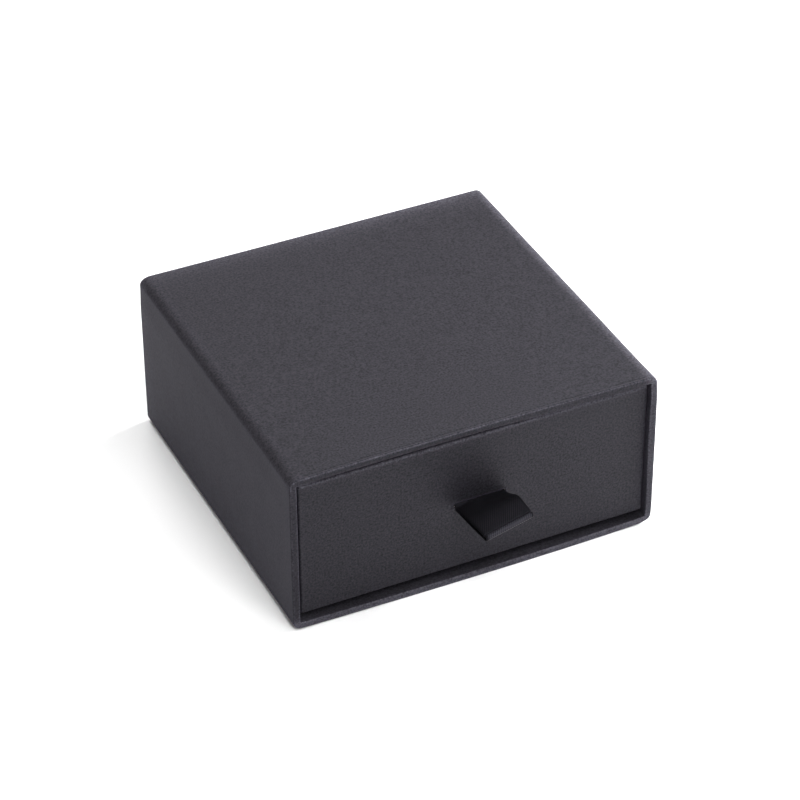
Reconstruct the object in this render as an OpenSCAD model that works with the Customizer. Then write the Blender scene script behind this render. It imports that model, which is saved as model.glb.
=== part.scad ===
// Sliding drawer gift box: a paper-covered board sleeve, open at the mouth, and
// the board drawer that slides in it, with a ribbon loop as its pull.
//
// Frame: the origin is under the middle of the sleeve's underside. +X runs to
// the right of someone who faces the drawer, +Y from the mouth to the back, and
// +Z up. All sizes are in millimetres, and the drawer is drawn shut.

/* [Sleeve] */
// Outside width of the sleeve
sleeve_w = 90; // [60:0.5:160]
// Outside depth of the sleeve, from the mouth to the back
sleeve_d = 87.5; // [60:0.5:160]
// Outside height of the sleeve
sleeve_h = 41.5; // [36:0.5:80]
// Radius of the sleeve's four long outer edges
sleeve_edge_r = 2; // [0.8:0.1:3]
// Thickness of the sleeve's greyboard
sleeve_board_t = 1.5; // [1:0.1:2.5]
// Depth that the covering paper is turned in at the mouth
mouth_turn_in = 14; // [6:0.5:25]
// Width of the covering paper's flaps on the back
back_flap_w = 10; // [4:0.5:14]
// Margin between the back panel's paper and the sleeve's outer edges
back_paper_margin = 2.2; // [0.5:0.1:3.5]

/* [Paper] */
// Thickness of the covering and lining paper
paper_t = 0.15; // [0.1:0.01:0.3]

/* [Drawer] */
// Thickness of the drawer's greyboard
drawer_board_t = 1.5; // [1:0.1:2.5]
// Radius of the drawer's four upright corners
drawer_edge_r = 0.8; // [0.5:0.1:2]
// Distance from the sleeve's mouth back to the drawer's front
front_recess = 1.4; // [0:0.1:6]
// Clearance between the drawer and the sleeve on each side, in the middle
side_gap = 0.5; // [0.2:0.05:1]
// Distance by which the drawer sits to the right of the middle
drawer_shift = 0.3; // [0:0.05:0.5]
// Clearance under the drawer
floor_gap = 1.35; // [0.2:0.05:2]
// Clearance over the drawer
roof_gap = 1.15; // [0.2:0.05:2]
// Clearance behind the drawer when it is shut
end_gap = 0.3; // [0.2:0.05:2]
// Width of the covering paper's flaps under the base
base_flap_w = 10; // [4:0.5:20]
// Margin between the base panel's paper and the drawer's outer edges
base_paper_margin = 2; // [0.5:0.1:3.5]

/* [Ribbon] */
// Width of the ribbon
ribbon_w = 12.5; // [8:0.5:20]
// Thickness of the ribbon
ribbon_t = 0.3; // [0.2:0.05:0.5]
// Distance from the middle of the drawer's front to the middle of the ribbon
ribbon_x = 1.3; // [-10:0.1:10]
// Reach of the loop in front of the drawer's front
loop_l = 14.7; // [10:0.1:20]
// Gap between the loop's two layers near the fold
loop_open = 0.7; // [0.3:0.1:2]
// Gap between the ribbon's two layers in the slit
layer_gap = 0.1; // [0.05:0.05:0.3]
// Rise of the loop's left edge from the slit to the fold
loop_rise = 0.5; // [0:0.1:2]
// Further rise of the loop's right edge, by which the loop is twisted
loop_twist = 2.9; // [0:0.1:3]
// Distance from the drawer's front to the axis on which the loop swings
swing_reach = 0.3; // [0.3:0.05:0.5]
// Distance from that axis to where the swinging loop begins
swing_gap = 0.25; // [0.2:0.05:0.4]
// Clearance between the ribbon and the slit's edges
slit_gap = 0.1; // [0.05:0.05:0.3]
// Length of each tail that is glued inside the drawer's front
tail_l = 10; // [5:0.5:12]
// Margin of the patch around the glued tails
patch_margin = 2.5; // [1:0.5:3]

/* [Hidden] */

paper_colour = [0.28, 0.275, 0.30];
lining_colour = [0.20, 0.197, 0.21];
board_colour = [0.52, 0.50, 0.47];
ribbon_colour = [0.10, 0.10, 0.11];

// Facets of a rounded edge, and the overshoot of a cut
edge_fn = 48;
cut = 1;
// Clearance that the drawer always keeps from the right wall
least_gap = 0.15;

// Sleeve: the boards lie between the covering paper and the lining
mouth_y = -sleeve_d / 2;
back_y = sleeve_d / 2;
sleeve_mid_z = sleeve_h / 2;
shell_w = sleeve_w - 2 * paper_t;
shell_h = sleeve_h - 2 * paper_t;
shell_r = sleeve_edge_r - paper_t;
shell_front_y = mouth_y + paper_t;
shell_back_y = back_y - 2 * paper_t;
shell_in_w = shell_w - 2 * sleeve_board_t;
shell_in_h = shell_h - 2 * sleeve_board_t;
cavity_w = shell_in_w - 2 * paper_t;
cavity_h = shell_in_h - 2 * paper_t;
cavity_floor_z = sleeve_mid_z - cavity_h / 2;
back_board_y = shell_back_y - sleeve_board_t;
cavity_end_y = back_board_y - paper_t;
turn_in_end_y = mouth_y + mouth_turn_in;

// Drawer: its outside follows from the cavity and the clearances
drawer_w = cavity_w - 2 * side_gap;
drawer_x = min(drawer_shift, side_gap - least_gap);
drawer_h = cavity_h - floor_gap - roof_gap;
drawer_z = cavity_floor_z + floor_gap;
drawer_top_z = drawer_z + drawer_h;
drawer_front_y = mouth_y + front_recess;
drawer_back_y = cavity_end_y - end_gap;
drawer_d = drawer_back_y - drawer_front_y;
drawer_mid_y = (drawer_front_y + drawer_back_y) / 2;
tray_w = drawer_w - 2 * paper_t;
tray_d = drawer_d - 2 * paper_t;
tray_r = drawer_edge_r - paper_t;
tray_in_w = tray_w - 2 * drawer_board_t;
tray_in_d = tray_d - 2 * drawer_board_t;
flap_z = drawer_z + paper_t;
tray_z = flap_z + paper_t;
tray_top_z = drawer_top_z - paper_t;
base_top_z = tray_z + drawer_board_t;
inside_w = tray_in_w - 2 * paper_t;
inside_d = tray_in_d - 2 * paper_t;
front_inner_y = drawer_mid_y - inside_d / 2;

// Ribbon: it comes out at half the drawer's height
slit_z = drawer_z + drawer_h / 2;
slit_x = drawer_x + ribbon_x;
slit_w = ribbon_w + 2 * slit_gap;
layer_z = layer_gap / 2;
slit_h = 2 * (layer_z + ribbon_t + slit_gap);
front_wall_t = front_inner_y - drawer_front_y;
patch_w = ribbon_w + 2 * patch_margin;
patch_h = 2 * (layer_z + tail_l + patch_margin);

// Loop: distances from the drawer's front are measured forwards
loop_start = swing_reach + swing_gap;
fold_r = (loop_open + ribbon_t) / 2;
fold_centre = loop_l - fold_r - ribbon_t / 2;
// Share of the loop over which its layers part, and over which it twists
part_share = 0.6;
twist_share = 0.55;
strand_steps = 12;
fold_steps = 8;

// ---- Shapes that repeat ----

// Rectangle with rounded corners, centred
module rounded_rect(w, d, r) {
    square([w - 2 * r, d], center = true);
    square([w, d - 2 * r], center = true);
    for (x = [-1, 1], y = [-1, 1])
        translate([x * (w / 2 - r), y * (d / 2 - r)])
            circle(r = r, $fn = edge_fn);
}

// Section through the +Y side of a frame of boards, with a mitre at each end
module mitred_side(w, d, r, t) {
    in_x = w / 2 - t;
    in_y = d / 2 - t;
    reach = t + cut;
    intersection() {
        difference() {
            rounded_rect(w, d, r);
            square([w - 2 * t, d - 2 * t], center = true);
        }
        polygon([
            [-in_x, in_y],
            [in_x, in_y],
            [in_x + reach, in_y + reach],
            [-in_x - reach, in_y + reach]
        ]);
    }
}

// A section in X and Z, centred on the sleeve, drawn out from y0 to y1
module along_sleeve(y0, y1) {
    translate([0, y1, sleeve_mid_z])
        rotate([90, 0, 0])
            linear_extrude(height = y1 - y0)
                children();
}

// A section in X and Y, centred on the drawer, raised from z0 to z1
module up_drawer(z0, z1) {
    translate([drawer_x, drawer_mid_y, z0])
        linear_extrude(height = z1 - z0)
            children();
}

// One of the sleeve's walls: turn is the angle from the top wall
module sleeve_board(turn, w, h) {
    color(board_colour)
        along_sleeve(shell_front_y, shell_back_y)
            rotate(turn)
                mitred_side(w, h, shell_r, sleeve_board_t);
}

// One of the drawer's walls: turn is the angle from the back wall
module drawer_board(turn, w, d) {
    color(board_colour)
        up_drawer(tray_z, tray_top_z)
            rotate(turn)
                mitred_side(w, d, tray_r, drawer_board_t);
}

// The slit for the ribbon, through every layer of the drawer's front
module ribbon_slit() {
    translate([slit_x - slit_w / 2, drawer_front_y - cut, slit_z - slit_h / 2])
        cube([slit_w, front_wall_t + 2 * cut, slit_h]);
}

// ---- Sleeve ----

module sleeve_top_board() {
    sleeve_board(0, shell_w, shell_h);
}

module sleeve_bottom_board() {
    sleeve_board(180, shell_w, shell_h);
}

module sleeve_left_board() {
    sleeve_board(90, shell_h, shell_w);
}

module sleeve_right_board() {
    sleeve_board(-90, shell_h, shell_w);
}

// Closes the back, between the four walls, and stops the drawer
module sleeve_back_board() {
    color(board_colour)
        along_sleeve(back_board_y, shell_back_y)
            square([shell_in_w, shell_in_h], center = true);
}

// One sheet: round the four walls, over the mouth's edge and into the mouth,
// and folded over on to the back as four flaps
module sleeve_wrap_paper() {
    color(paper_colour) {
        along_sleeve(mouth_y, shell_back_y)
            difference() {
                rounded_rect(sleeve_w, sleeve_h, sleeve_edge_r);
                rounded_rect(shell_w, shell_h, shell_r);
            }
        along_sleeve(mouth_y, shell_front_y)
            difference() {
                rounded_rect(sleeve_w, sleeve_h, sleeve_edge_r);
                square([cavity_w, cavity_h], center = true);
            }
        along_sleeve(mouth_y, turn_in_end_y)
            difference() {
                square([shell_in_w, shell_in_h], center = true);
                square([cavity_w, cavity_h], center = true);
            }
        along_sleeve(shell_back_y, shell_back_y + paper_t)
            difference() {
                rounded_rect(sleeve_w, sleeve_h, sleeve_edge_r);
                square([sleeve_w - 2 * back_flap_w, sleeve_h - 2 * back_flap_w], center = true);
            }
    }
}

// Panel over the flaps on the back, pressed down to the board between them
module sleeve_back_paper() {
    color(paper_colour) {
        along_sleeve(back_y - paper_t, back_y)
            square([sleeve_w - 2 * back_paper_margin, sleeve_h - 2 * back_paper_margin], center = true);
        along_sleeve(shell_back_y, back_y - paper_t)
            square([sleeve_w - 2 * back_flap_w, sleeve_h - 2 * back_flap_w], center = true);
    }
}

// Lines the four walls from the end of the turned-in paper to the back
module sleeve_wall_lining() {
    color(lining_colour)
        along_sleeve(turn_in_end_y, cavity_end_y)
            difference() {
                square([shell_in_w, shell_in_h], center = true);
                square([cavity_w, cavity_h], center = true);
            }
}

module sleeve_end_lining() {
    color(lining_colour)
        along_sleeve(cavity_end_y, back_board_y)
            square([shell_in_w, shell_in_h], center = true);
}

// ---- Drawer ----

module drawer_base_board() {
    color(board_colour)
        up_drawer(tray_z, base_top_z)
            square([tray_in_w, tray_in_d], center = true);
}

module drawer_front_board() {
    difference() {
        drawer_board(180, tray_w, tray_d);
        ribbon_slit();
    }
}

module drawer_back_board() {
    drawer_board(0, tray_w, tray_d);
}

module drawer_left_board() {
    drawer_board(90, tray_d, tray_w);
}

module drawer_right_board() {
    drawer_board(-90, tray_d, tray_w);
}

// One sheet: round the four walls, over the rim and down inside to the base,
// and folded under the base as four flaps
module drawer_wrap_paper() {
    color(paper_colour)
        difference() {
            union() {
                up_drawer(flap_z, drawer_top_z)
                    difference() {
                        rounded_rect(drawer_w, drawer_d, drawer_edge_r);
                        rounded_rect(tray_w, tray_d, tray_r);
                    }
                up_drawer(tray_top_z, drawer_top_z)
                    difference() {
                        rounded_rect(drawer_w, drawer_d, drawer_edge_r);
                        square([inside_w, inside_d], center = true);
                    }
                up_drawer(base_top_z, drawer_top_z)
                    difference() {
                        square([tray_in_w, tray_in_d], center = true);
                        square([inside_w, inside_d], center = true);
                    }
                up_drawer(flap_z, tray_z)
                    difference() {
                        rounded_rect(drawer_w, drawer_d, drawer_edge_r);
                        square([drawer_w - 2 * base_flap_w, drawer_d - 2 * base_flap_w], center = true);
                    }
            }
            ribbon_slit();
        }
}

// Panel over the flaps under the base, pressed up to the board between them
module drawer_base_paper() {
    color(paper_colour) {
        up_drawer(drawer_z, flap_z)
            square([drawer_w - 2 * base_paper_margin, drawer_d - 2 * base_paper_margin], center = true);
        up_drawer(flap_z, tray_z)
            square([drawer_w - 2 * base_flap_w, drawer_d - 2 * base_flap_w], center = true);
    }
}

module drawer_floor_paper() {
    color(lining_colour)
        up_drawer(base_top_z, base_top_z + paper_t)
            square([inside_w, inside_d], center = true);
}

// ---- Ribbon ----

// One tail, above or below the slit's middle: it comes in through the slit and
// is glued flat to the inside of the drawer's front
module ribbon_tail(above) {
    translate([slit_x, 0, slit_z])
        mirror([0, 0, above ? 0 : 1]) {
            translate([-ribbon_w / 2, drawer_front_y, layer_z])
                cube([ribbon_w, front_wall_t + ribbon_t, ribbon_t]);
            translate([-ribbon_w / 2, front_inner_y, layer_z])
                cube([ribbon_w, ribbon_t, tail_l]);
        }
}

// Both ends of the ribbon, as two strips
module ribbon_tails() {
    color(ribbon_colour) {
        ribbon_tail(true);
        ribbon_tail(false);
    }
}

// Paper glued over the tails and on to the wall around them
module ribbon_patch() {
    over_w = ribbon_w + 2 * paper_t;
    over_h = 2 * (layer_z + tail_l + paper_t);
    color(paper_colour)
        translate([slit_x, front_inner_y, slit_z])
            rotate([-90, 0, 0])
                difference() {
                    union() {
                        linear_extrude(height = paper_t)
                            square([patch_w, patch_h], center = true);
                        linear_extrude(height = ribbon_t + paper_t)
                            square([over_w, over_h], center = true);
                    }
                    translate([0, 0, -cut])
                        linear_extrude(height = ribbon_t + cut)
                            square([ribbon_w, 2 * (layer_z + tail_l)], center = true);
                }
}

// 0 at and below 0, 1 at and above 1, and smooth between
function ease(v) = let (c = min(max(v, 0), 1)) c * c * (3 - 2 * c);

// Half the gap between the layers at distance f in front of the drawer
function half_gap(f) =
    let (grown = ease((f - loop_start) / (part_share * (fold_centre - loop_start))))
    layer_z + (loop_open / 2 - layer_z) * grown;

// Height of the loop's middle plane at distance f, at share u of its width
function loop_height(f, u) =
    loop_rise * f / loop_l + u * loop_twist * ease(f / (twist_share * loop_l));

// Side view of the loop's inner or outer face, as [distance, height] points from
// the root of the lower layer, round the fold, to the root of the upper layer
function face_side(skin) = concat(
    [for (i = [0 : strand_steps - 1])
        let (f = loop_start + (fold_centre - loop_start) * i / strand_steps)
        [f, -half_gap(f) - skin]],
    [for (i = [0 : fold_steps])
        let (a = -90 + 180 * i / fold_steps)
        [fold_centre + (loop_open / 2 + skin) * cos(a), (loop_open / 2 + skin) * sin(a)]],
    [for (i = [strand_steps - 1 : -1 : 0])
        let (f = loop_start + (fold_centre - loop_start) * i / strand_steps)
        [f, half_gap(f) + skin]]
);

// A point of that side view, set at share u of the ribbon's width
function loop_point(p, u) = [
    slit_x + (u - 0.5) * ribbon_w,
    drawer_front_y - p[0],
    slit_z + p[1] + loop_height(p[0], u)
];

// The loop: one strip, out of the slit, folded back on itself and in again
module pull_ribbon() {
    inner = face_side(0);
    outer = face_side(ribbon_t);
    last = len(inner) - 1;
    // Four points at each station: outer left, outer right, inner right, inner left
    points = [for (i = [0 : last]) each [
        loop_point(outer[i], 0),
        loop_point(outer[i], 1),
        loop_point(inner[i], 1),
        loop_point(inner[i], 0)
    ]];
    sides = [for (i = [0 : last - 1], k = [0 : 3])
        let (a = 4 * i + k, b = 4 * i + (k + 1) % 4)
        each [[a, a + 4, b + 4], [a, b + 4, b]]];
    ends = [
        [0, 1, 2],
        [0, 2, 3],
        [4 * last, 4 * last + 2, 4 * last + 1],
        [4 * last, 4 * last + 3, 4 * last + 2]
    ];
    color(ribbon_colour)
        polyhedron(points = points, faces = concat(sides, ends));
}

sleeve_top_board();
sleeve_bottom_board();
sleeve_left_board();
sleeve_right_board();
sleeve_back_board();
sleeve_wrap_paper();
sleeve_back_paper();
sleeve_wall_lining();
sleeve_end_lining();
drawer_base_board();
drawer_front_board();
drawer_back_board();
drawer_left_board();
drawer_right_board();
drawer_wrap_paper();
drawer_base_paper();
drawer_floor_paper();
ribbon_tails();
ribbon_patch();
pull_ribbon();
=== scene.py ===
import math

import bmesh
import bpy
import numpy as np
from mathutils import Matrix, Vector, noise


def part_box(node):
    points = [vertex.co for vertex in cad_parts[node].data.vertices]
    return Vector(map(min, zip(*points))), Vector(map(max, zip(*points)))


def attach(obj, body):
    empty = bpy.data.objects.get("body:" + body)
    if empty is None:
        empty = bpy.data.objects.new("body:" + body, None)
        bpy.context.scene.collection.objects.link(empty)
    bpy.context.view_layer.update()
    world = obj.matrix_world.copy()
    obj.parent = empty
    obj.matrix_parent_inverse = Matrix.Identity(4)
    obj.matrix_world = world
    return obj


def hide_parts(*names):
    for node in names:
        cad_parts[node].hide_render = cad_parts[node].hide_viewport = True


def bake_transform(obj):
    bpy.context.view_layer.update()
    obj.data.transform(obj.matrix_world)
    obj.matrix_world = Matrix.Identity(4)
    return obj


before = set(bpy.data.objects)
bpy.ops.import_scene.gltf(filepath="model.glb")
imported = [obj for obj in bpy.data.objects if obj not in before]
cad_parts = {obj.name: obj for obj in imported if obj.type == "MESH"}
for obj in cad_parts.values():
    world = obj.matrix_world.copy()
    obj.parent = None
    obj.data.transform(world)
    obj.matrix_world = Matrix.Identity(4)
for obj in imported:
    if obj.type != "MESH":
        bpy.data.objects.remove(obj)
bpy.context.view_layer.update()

# Sizes are in millimetres unless they say otherwise, in the CAD frame: the origin is under the
# middle of the sleeve, +X is to the right of someone facing the drawer, +Y goes from the mouth
# to the closed back, and +Z is up.
MM = 0.001


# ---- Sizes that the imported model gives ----

def corners(node):
    """Lowest and highest corner of a CAD node, in millimetres."""
    lo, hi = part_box(node)
    return np.array(lo) / MM, np.array(hi) / MM


WRAP_LO, WRAP_HI = corners("sleeve_wrap_paper")
TOP_BOARD_LO, TOP_BOARD_HI = corners("sleeve_top_board")
LINING_LO, LINING_HI = corners("sleeve_wall_lining")
BACK_PANEL_LO, BACK_PANEL_HI = corners("sleeve_back_paper")

SLEEVE_W = WRAP_HI[0] - WRAP_LO[0]
SLEEVE_H = WRAP_HI[2] - WRAP_LO[2]
MOUTH_Y = WRAP_LO[1]
FLAP_BACK_Y = WRAP_HI[1]
SHELL_FRONT_Y = TOP_BOARD_LO[1]
SHELL_BACK_Y = TOP_BOARD_HI[1]
PAPER = SHELL_FRONT_Y - MOUTH_Y
BOARD = TOP_BOARD_HI[2] - TOP_BOARD_LO[2]
WALL = BOARD + 2 * PAPER
SLEEVE_MID_Z = SLEEVE_H / 2
TURN_IN_END_Y = LINING_LO[1]
CAVITY_END_Y = LINING_HI[1]
SLEEVE_EDGE_R = 2.0
BACK_FLAP = 10.0

DRAWER_LO, DRAWER_HI = corners("drawer_wrap_paper")
BASE_LO, BASE_HI = corners("drawer_base_board")
BASE_PANEL_LO, BASE_PANEL_HI = corners("drawer_base_paper")
TAILS_LO, TAILS_HI = corners("ribbon_tails")
PATCH_LO, PATCH_HI = corners("ribbon_patch")
LOOP_LO, _ = corners("pull_ribbon")

DRAWER_W = DRAWER_HI[0] - DRAWER_LO[0]
DRAWER_X = (DRAWER_LO[0] + DRAWER_HI[0]) / 2
DRAWER_D = DRAWER_HI[1] - DRAWER_LO[1]
DRAWER_FRONT_Y = DRAWER_LO[1]
DRAWER_MID_Y = (DRAWER_LO[1] + DRAWER_HI[1]) / 2
DRAWER_FLAP_Z = DRAWER_LO[2]
DRAWER_TOP_Z = DRAWER_HI[2]
TRAY_Z = BASE_LO[2]
TRAY_TOP_Z = DRAWER_TOP_Z - PAPER
BASE_TOP_Z = BASE_HI[2]
BASE_FLAP = 10.0

RIBBON_X = (TAILS_LO[0] + TAILS_HI[0]) / 2
RIBBON_W = TAILS_HI[0] - TAILS_LO[0]
RIBBON_T = 0.3
SLIT_Z = (TAILS_LO[2] + TAILS_HI[2]) / 2
SLIT_GAP = 0.1
LAYER_Z = 0.05
TAIL_L = (TAILS_HI[2] - TAILS_LO[2]) / 2 - LAYER_Z
FRONT_INNER_Y = DRAWER_FRONT_Y + WALL
SLIT_HALF_W = RIBBON_W / 2 + SLIT_GAP
SLIT_HALF_H = LAYER_Z + RIBBON_T + SLIT_GAP
SLIT_ENDS = (RIBBON_X - DRAWER_X - SLIT_HALF_W, RIBBON_X - DRAWER_X + SLIT_HALF_W)

# How the ribbon's loop lies. Its two runs part in front of the drawer, it rises and twists up to
# the right, its left edge droops, and it narrows to its fold. PART_SHARE and TWIST_SHARE are
# shares of its length, and DROOP_SHARE is one of its width. A crease runs across the upper run
# just behind the fold.
LOOP_L = DRAWER_FRONT_Y - LOOP_LO[1]
LOOP_OPEN = 0.7
LOOP_START = 0.55
PART_SHARE = 0.6
LOOP_RISE = 0.5
LOOP_TWIST = 2.9
TWIST_SHARE = 0.55
LOOP_DROOP = 0.95
DROOP_SHARE = 0.32
LOOP_LEFT_IN = 0.6
LOOP_RIGHT_IN = 0.42
CREASE_F = LOOP_L - 1.3
CREASE_DEPTH = 0.34
CREASE_REACH = 0.22

# How the folded paper rounds the boards' edges
RIM_OUTER_R = 0.5
RIM_INNER_R = 0.22
BACK_EDGE_R = 0.5
DRAWER_CORNER_R = 0.45
DRAWER_FOOT_R = 0.5
INNER_CORNER_R = 0.15
LINING_CORNER_R = 0.12

# How far a flap stands over the next one at a corner, and how deep its pleats are
RIM_LAP = 0.07
RIM_PLEAT = 0.025
BACK_LAP = 0.05
DRAWER_LAP = 0.06

# How the sleeve has given. At the mouth its top, floor and sides bow out, which fades towards the
# back by the power BOW_FADE of the distance's share. The walls are pressed thinner there, the
# top's inner lip sags to the right of its middle, and the low right corner is crushed.
BOW_FADE = 1.4
TOP_BOW = 0.5
CROWN_LEAN = 0.78
CROWN_FLATNESS = 0.8
FLOOR_LIFT = 0.4
FLOOR_LOW_X = 9.0
FLOOR_FORWARD = 0.3
FOOT_SHARPER = 0.6
MOUTH_RIGHT = 0.2
MOUTH_WIDER = 0.38
LIP_SAG = 0.42
RIM_GROOVE = 0.09
GROOVE_BACK = 0.72
GROOVE_REACH = 0.25
RIM_THINNER = 0.17
RIGHT_WALL_IN = 0.27
DENT_IN = 0.3
DENT_UP = 0.4
DENT_REACH = 1.9
DENT_MIDDLE = 0.5
DENT_LONGER = 1.5

# How the sleeve's back and long edges stand
BACK_RISE = 0.25
RIGHT_EDGE_SQUARER = 0.13
LEFT_EDGE_ROLLED = 0.75
LEFT_ROLL_REACH = 4.0
LEFT_EDGE_IN = 0.22

# Between which two places each of those shapes fades: _BACK is measured back from the mouth,
# _DOWN down from the top, _UP up from the floor and _SHARE as a share of the width
PRESSED_BACK = (2.0, 9.0)
FORWARD_BACK = (0.0, 6.0)
SAG_BACK = (1.0, 14.0)
LEAN_BACK = (1.0, 12.0)
CROWN_DOWN = (1.9, 7.0)
WIDER_DOWN = (0.0, 8.0)
SAG_TOP_DOWN = (0.9, 1.5)
SAG_FOOT_DOWN = (2.5, 5.0)
LEAN_DOWN = (2.0, 9.0)
LIFT_UP = (2.0, 12.0)
FORWARD_UP = (1.2, 3.0)
SHARPER_UP = (0.5, 4.0)
PUFFED_FOOT_UP = (8.0, 22.0)
PUFFED_TOP_UP = (31.0, 36.5)
RISE_SHARE = (0.3, 1.0)
SAG_LEFT_SHARE = (0.52, 0.72)
SAG_RIGHT_SHARE = (0.93, 0.975)

# How the drawer's outer paper stands
DRAWER_RIGHT = 0.08
DRAWER_WIDER = 0.45
DRAWER_FOOT_SAG = 0.15

# How far the panels are pressed down between the flaps, and how sheets curl at their cut edges
PANEL_DIP = 0.12
CURL_REACH = 0.4
PANEL_CURL = 0.06
PATCH_CURL = 0.05


# ---- Small helpers ----

def smoothstep(lo, hi, v):
    """0 up to lo, 1 from hi on and smooth between them."""
    t = np.clip((np.asarray(v, float) - lo) / (hi - lo), 0.0, 1.0)
    return t * t * (3.0 - 2.0 * t)


def fades(lo, hi, v):
    """1 up to lo, 0 from hi on and smooth between them."""
    return 1.0 - smoothstep(lo, hi, v)


def bell(v, reach):
    """1 where v is 0, falling smoothly to either side."""
    return np.exp(-(v / reach) ** 2)


def steps(a, b, n):
    """n points from a to b, both ends among them."""
    return [a + (b - a) * i / (n - 1) for i in range(n)]


def arc_points(centre_u, centre_v, r, from_deg, to_deg, n):
    """Points of an arc in a path's plane, without its first point."""
    out = []
    for i in range(1, n + 1):
        a = math.radians(from_deg + (to_deg - from_deg) * i / n)
        out.append((centre_u + r * math.cos(a), centre_v + r * math.sin(a)))
    return out


def add_object(name, data):
    obj = bpy.data.objects.new(name, data)
    bpy.context.scene.collection.objects.link(obj)
    return obj


def add_mesh(name, verts, faces, material):
    mesh = bpy.data.meshes.new(name)
    mesh.from_pydata(verts, [], faces)
    mesh.materials.append(material)
    return add_object(name, mesh)


def new_piece(name, verts, faces, material, smooth_below=None):
    """A mesh object from points in millimetres, with its normals outwards."""
    obj = add_mesh(name, [tuple(v) for v in np.asarray(verts, float) * MM], faces, material)
    mesh = obj.data
    bm = bmesh.new()
    bm.from_mesh(mesh)
    bmesh.ops.remove_doubles(bm, verts=bm.verts, dist=1e-7)
    bmesh.ops.dissolve_degenerate(bm, edges=bm.edges, dist=1e-7)
    bmesh.ops.recalc_face_normals(bm, faces=bm.faces)
    bm.to_mesh(mesh)
    bm.free()
    mesh.shade_smooth()
    if smooth_below:
        mesh.set_sharp_from_angle(angle=math.radians(smooth_below))
    return obj


def read_vectors(items, name):
    out = np.empty(len(items) * 3, np.float32)
    items.foreach_get(name, out)
    return out.reshape(-1, 3).astype(float)


def ripple(obj, amount, size, seed, mask):
    """Moves a mesh's points along their normals by smooth noise, where the mask lets it."""
    mesh = obj.data
    co = read_vectors(mesh.vertices, "co") / MM
    normals = read_vectors(mesh.vertex_normals, "vector")
    shift = Vector((13.7 * seed, 5.1 * seed, 9.3 * seed))
    wave = np.array([noise.noise(Vector(p) / size + shift) for p in co])
    co = co + normals * (amount * wave * mask(co))[:, None]
    mesh.vertices.foreach_set("co", (co * MM).astype(np.float32).ravel())
    mesh.update()


def set_shares(obj, name, values):
    """Keeps a share from 0 to 1 for each point, which the piece's material reads by its name."""
    layer = obj.data.attributes.new(name, "FLOAT", "POINT")
    layer.data.foreach_set("value", np.clip(values, 0.0, 1.0).astype(np.float32).ravel())


# ---- Lofts: a sheet of paper that runs round a rounded rectangle ----

def side_stations(straight, spacing, extra=()):
    """Places along a side, with two more near each end and with the extra ones."""
    n = max(3, int(round(2 * straight / spacing)))
    found = set(round(v, 5) for v in steps(-straight, straight, n + 1))
    for v in (straight - 0.35, straight - 1.0):
        found.update((round(v, 5), round(-v, 5)))
    found = {v for v in found if all(abs(v - e) > 0.25 for e in extra)}
    return sorted(found | set(round(e, 5) for e in extra))


def outline(half_a, half_b, r, stations_a, stations_b, arc_n):
    """Rounded rectangle as points, from the low side's left end anticlockwise.

    Where a side is shorter than its stations, they are drawn in to fit it.
    """
    along_a, along_b = half_a - r, half_b - r
    scale_a = min(1.0, along_a / stations_a[-1] * 0.999)
    scale_b = min(1.0, along_b / stations_b[-1] * 0.999)
    points = []

    def corner(sign_a, sign_b, start):
        for i in range(arc_n + 1):
            a = math.radians(start + 90.0 * i / arc_n)
            points.append((sign_a * along_a + r * math.cos(a), sign_b * along_b + r * math.sin(a)))

    points += [(s * scale_a, -half_b) for s in stations_a]
    corner(1, -1, -90)
    points += [(half_a, s * scale_b) for s in stations_b]
    corner(1, 1, 0)
    points += [(s * scale_a, half_b) for s in reversed(stations_a)]
    corner(-1, 1, 90)
    points += [(-half_a, s * scale_b) for s in reversed(stations_b)]
    corner(-1, -1, 180)
    return points


def loft_faces(rings, around, skip=()):
    """Quads of a sheet that is closed both round its outline and along its path."""
    skip = set(skip)
    faces = []
    for i in range(rings):
        j = (i + 1) % rings
        for k in range(around):
            if (i, k) in skip:
                continue
            m = (k + 1) % around
            faces.append((i * around + k, i * around + m, j * around + m, j * around + k))
    return faces


def strip_faces(rings, around):
    """Quads along a strip that is swept through rings of points, and across its two ends."""
    faces = []
    for i in range(rings - 1):
        for k in range(around):
            j = (k + 1) % around
            faces.append((i * around + k, i * around + j, (i + 1) * around + j, (i + 1) * around + k))
    for base in (0, (rings - 1) * around):
        for k in range(around // 2 - 1):
            faces.append((base + k, base + k + 1, base + around - 2 - k, base + around - 1 - k))
    return faces


def sheet_rings(path, visible, ring):
    """A sheet's rings, each point's distance in from the outside, and 1 where it can be seen."""
    rings = np.array([ring(*place) for place in path])
    inset = np.repeat(np.array([place[0] for place in path])[:, None], rings.shape[1], 1)
    shown = np.zeros(inset.shape)
    shown[:visible] = 1.0
    return rings, inset, shown


# ---- Materials ----

def set_inputs(tree, node, values):
    """Gives some of a node's inputs a plain value, or links them to another node's output."""
    for name, value in values.items():
        if isinstance(value, bpy.types.NodeSocket):
            tree.links.new(value, node.inputs[name])
        else:
            node.inputs[name].default_value = value


def add_node(tree, kind, values=None):
    node = tree.nodes.new("ShaderNode" + kind)
    set_inputs(tree, node, values or {})
    return node


def new_material(name):
    mat = bpy.data.materials.new(name)
    mat.use_nodes = True
    tree = mat.node_tree
    tree.nodes.clear()
    out = add_node(tree, "OutputMaterial")
    shader = add_node(tree, "BsdfPrincipled")
    tree.links.new(shader.outputs["BSDF"], out.inputs["Surface"])
    return mat, tree, shader


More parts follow.
